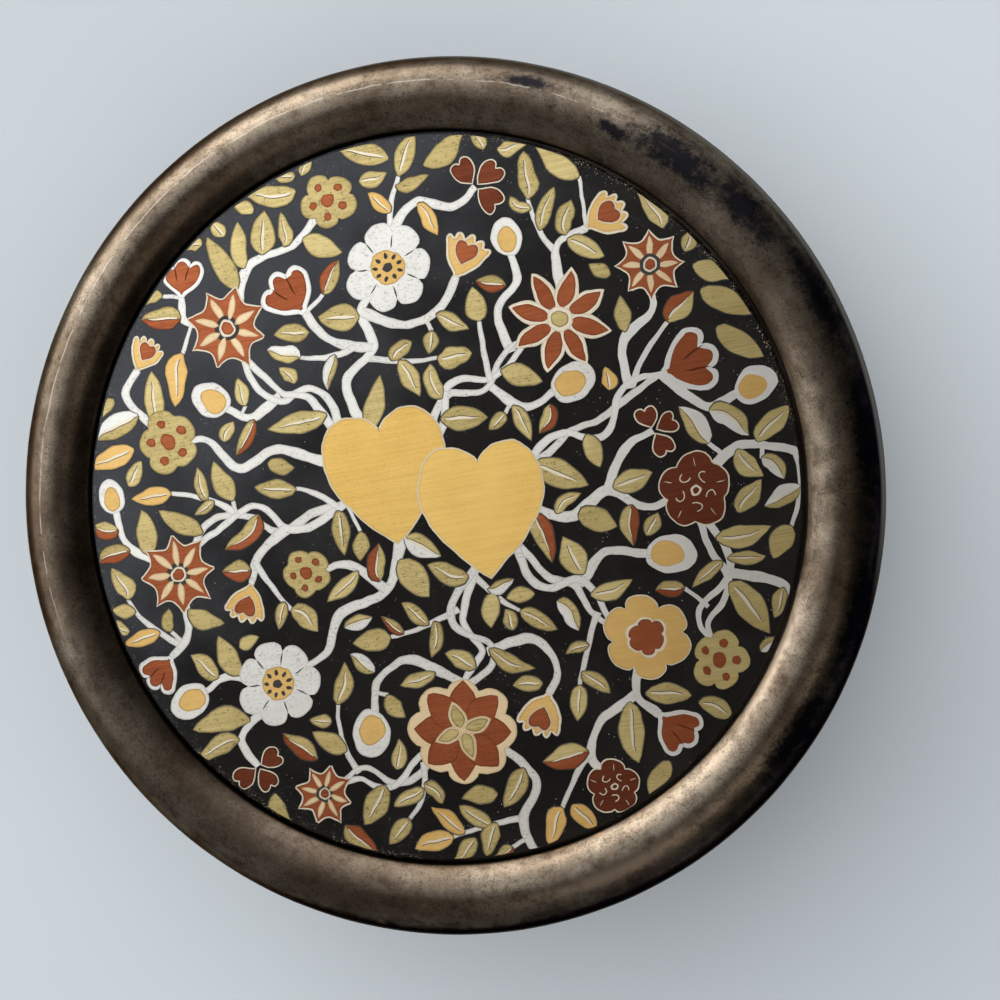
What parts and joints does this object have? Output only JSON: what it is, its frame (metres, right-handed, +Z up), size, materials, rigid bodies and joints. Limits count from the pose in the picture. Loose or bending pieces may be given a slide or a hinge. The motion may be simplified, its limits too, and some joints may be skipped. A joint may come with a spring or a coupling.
{
  "type": "round trinket box with lift-off lid",
  "caption": "Low round box in tarnished silver plate with a rolled rim; its lift-off lid holds a black lacquered disc inlaid with hearts and a flowering vine.",
  "frame": {"origin": "centre of the foot, on the surface that the box stands on", "axes": "+Z up along the axis of the box; +Y towards the top of the lid's picture"},
  "size_m": [0.095, 0.095, 0.036],
  "materials": {
    "silver_plate": "tarnished silver plate, warm brown and mottled, with fine scratches",
    "black_lacquer": "smooth black lacquer ground with a low sheen",
    "inlay_silver": "pale silver-white metal inlay, finely brushed, with tiny dark pits",
    "inlay_olive": "olive-gold leaf metal with dark flecks",
    "inlay_copper": "brushed copper-red inlay",
    "inlay_gold": "yellow-gold brass inlay with a fine brushed grain"
  },
  "bodies": {
    "root": {"box_body": "silver_plate", "lid": "silver_plate", "lid_disc": "black_lacquer"}
  },
  "joints": []
}
